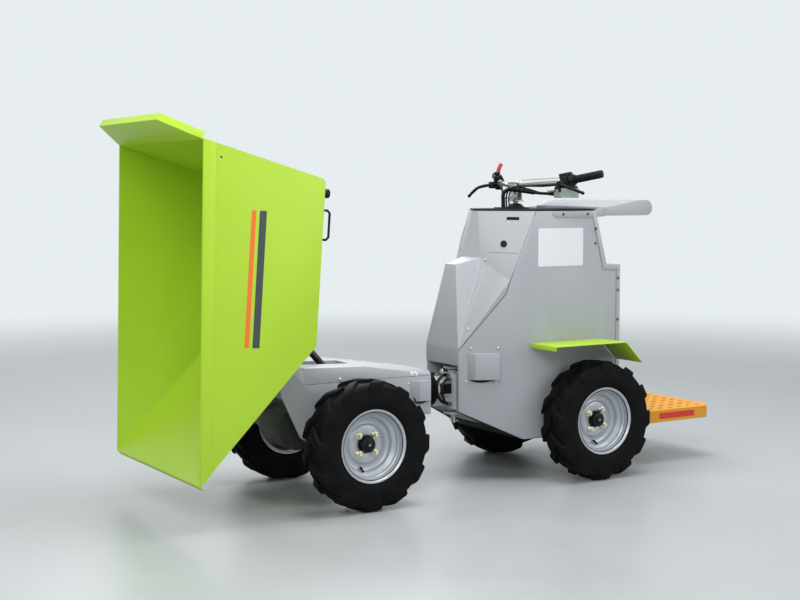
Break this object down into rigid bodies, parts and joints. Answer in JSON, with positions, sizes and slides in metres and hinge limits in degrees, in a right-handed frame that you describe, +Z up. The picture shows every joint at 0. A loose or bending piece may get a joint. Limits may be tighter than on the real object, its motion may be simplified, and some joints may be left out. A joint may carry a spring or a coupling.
{
  "type": "site dumper",
  "caption": "Pedestrian articulated site dumper on lugged tyres, with a forward-tipping skip, an upright power console, a handlebar and a rear step.",
  "frame": {"origin": "centre of the footprint on the ground", "axes": "+X forward towards the skip, +Y to the driver's left, +Z up"},
  "size_m": [2.7424, 0.86, 1.5134],
  "materials": {
    "body_grey": "semi-gloss",
    "lime": "gloss",
    "tyre": "matt",
    "rim": "satin",
    "black": "matt",
    "zinc": "satin",
    "casting": "satin",
    "yellow": "satin",
    "red": "gloss"
  },
  "bodies": {
    "handlebar_set": {"cable_loom": "black", "control_box": "casting", "grip_left": "black", "grip_right": "black", "handlebar": "zinc", "lever_left": "black", "lever_right": "black", "stem": "zinc", "thumb_lever": "red"},
    "rear_half": {"cowl": "body_grey", "deck": "black", "fender_left": "lime", "fender_right": "lime", "hinge_lugs": "body_grey", "pivot_pin": "zinc", "rear_axle": "casting", "rear_body": "body_grey", "rear_cover": "body_grey", "shelf": "body_grey", "stem_boot": "black", "step": "yellow", "step_frame": "casting", "vent_cover_left": "body_grey", "vent_cover_right": "body_grey"},
    "front_half": {"cylinder_pin": "zinc", "frame_vent_left": "body_grey", "frame_vent_right": "body_grey", "front_axle": "casting", "front_cover": "body_grey", "front_frame": "body_grey", "tip_pin": "zinc"},
    "wheel_front_left": {"hub_front_left": "black", "rim_front_left": "rim", "tyre_front_left": "tyre"},
    "wheel_front_right": {"hub_front_right": "black", "rim_front_right": "rim", "tyre_front_right": "tyre"},
    "wheel_rear_left": {"hub_rear_left": "black", "rim_rear_left": "rim", "tyre_rear_left": "tyre"},
    "wheel_rear_right": {"hub_rear_right": "black", "rim_rear_right": "rim", "tyre_rear_right": "tyre"},
    "knuckle": {"knuckle": "body_grey", "steer_stop": "black"},
    "cylinder_rod": {"rod_pin": "zinc", "tip_rod": "zinc"},
    "skip": {"skip": "lime", "skip_buffer": "black", "skip_handle": "black", "skip_hinge": "casting"},
    "cylinder_barrel": {"tip_cylinder": "casting"}
  },
  "joints": [
    {"name": "steer", "type": "hinge", "parent": "rear_half", "child": "knuckle", "pos_m": [-0.09918, 0, 0.38911], "axis": [0, 0, 1], "range_deg": [-25, 25]},
    {"name": "roll", "type": "hinge", "parent": "knuckle", "child": "front_half", "pos_m": [0.00682, 0, 0.38911], "axis": [1, 0, 0], "range_deg": [-10, 10]},
    {"name": "tip", "type": "hinge", "parent": "front_half", "child": "skip", "pos_m": [0.82882, 0, 0.59111], "axis": [0, 1, 0], "range_deg": [-86, 0]},
    {"name": "cylinder_swing", "type": "hinge", "parent": "front_half", "child": "cylinder_barrel", "pos_m": [0.30382, 0, 0.26111], "axis": [0, 1, 0], "range_deg": [-2, 16]},
    {"name": "cylinder_stroke", "type": "slide", "parent": "cylinder_barrel", "child": "cylinder_rod", "axis": [0.6759, 0, 0.737], "range_m": [-0.215, 0.002]},
    {"name": "spin_rear_left", "type": "hinge", "parent": "rear_half", "child": "wheel_rear_left", "pos_m": [-0.59618, 0.3585, 0.25598], "axis": [0, 1, 0], "continuous": true},
    {"name": "spin_rear_right", "type": "hinge", "parent": "rear_half", "child": "wheel_rear_right", "pos_m": [-0.59618, -0.3585, 0.25598], "axis": [0, 1, 0], "continuous": true},
    {"name": "spin_front_left", "type": "hinge", "parent": "front_half", "child": "wheel_front_left", "pos_m": [0.54782, 0.3585, 0.25598], "axis": [0, 1, 0], "continuous": true},
    {"name": "spin_front_right", "type": "hinge", "parent": "front_half", "child": "wheel_front_right", "pos_m": [0.54782, -0.3585, 0.25598], "axis": [0, 1, 0], "continuous": true},
    {"name": "bar_turn", "type": "hinge", "parent": "rear_half", "child": "handlebar_set", "pos_m": [-0.42418, 0, 1.26311], "axis": [0, 0, 1], "range_deg": [-25, 25]}
  ],
  "couplings": [
    {"joint": "cylinder_swing", "follows": "tip", "ratio": -0.16032},
    {"joint": "cylinder_stroke", "follows": "tip", "m_per_rad": 0.12826},
    {"joint": "bar_turn", "follows": "steer", "ratio": 1}
  ]
}
